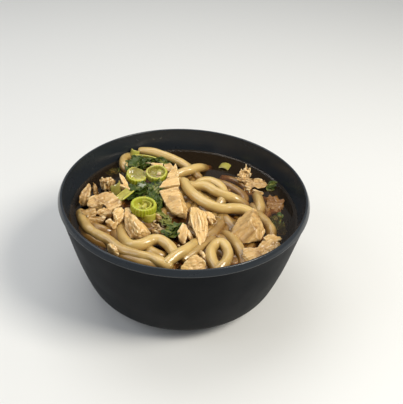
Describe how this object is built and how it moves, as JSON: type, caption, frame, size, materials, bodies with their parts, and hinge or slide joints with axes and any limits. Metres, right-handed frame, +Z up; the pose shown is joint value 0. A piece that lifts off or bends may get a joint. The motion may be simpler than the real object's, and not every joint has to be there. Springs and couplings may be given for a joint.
{
  "type": "udon noodle bowl",
  "caption": "Deep round bowl of dark broth with a heap of thick wheat noodles, torn chicken, cut scallion and soft leaves.",
  "frame": {"origin": "middle of the bowl's foot ring, on the surface it stands on", "axes": "+Z up along the bowl's axis; -Y towards the side the food is seen from; +X to that viewer's right"},
  "size_m": [0.1814, 0.1814, 0.085],
  "materials": {
    "melamine": "near-black melamine with a soft sheen",
    "broth": "dark clear soy broth, wet",
    "noodle": "pale cream-yellow boiled dough, wet",
    "chicken": "cooked chicken meat, fibrous, tan",
    "scallion_green": "fresh green scallion, wet",
    "scallion_pale": "yellow-green inner scallion, wet",
    "leaf": "soft dark green leaf, wet"
  },
  "bodies": {
    "root": {"bowl": "melamine", "broth": "broth", "noodles": "noodle", "scallion_01": "scallion_green", "scallion_02": "scallion_green", "scallion_03": "scallion_pale", "scallion_04": "scallion_pale", "scallion_05": "scallion_pale", "scallion_06": "scallion_pale", "scallion_07": "scallion_pale", "scallion_08": "scallion_pale", "scallion_09": "scallion_pale", "chicken_01": "chicken", "chicken_02": "chicken", "chicken_03": "chicken", "chicken_04": "chicken", "chicken_05": "chicken", "chicken_06": "chicken", "chicken_07": "chicken", "chicken_08": "chicken", "chicken_09": "chicken", "chicken_10": "chicken", "chicken_11": "chicken", "chicken_12": "chicken", "chicken_13": "chicken", "chicken_14": "chicken", "chicken_15": "chicken", "chicken_16": "chicken", "chicken_17": "chicken", "chicken_18": "chicken", "chicken_19": "chicken", "chicken_20": "chicken", "chicken_21": "chicken", "chicken_22": "chicken", "leaf_01": "leaf", "leaf_02": "leaf", "leaf_03": "leaf", "leaf_04": "leaf", "leaf_05": "leaf", "leaf_06": "leaf", "leaf_07": "leaf", "leaf_08": "leaf"}
  },
  "joints": []
}
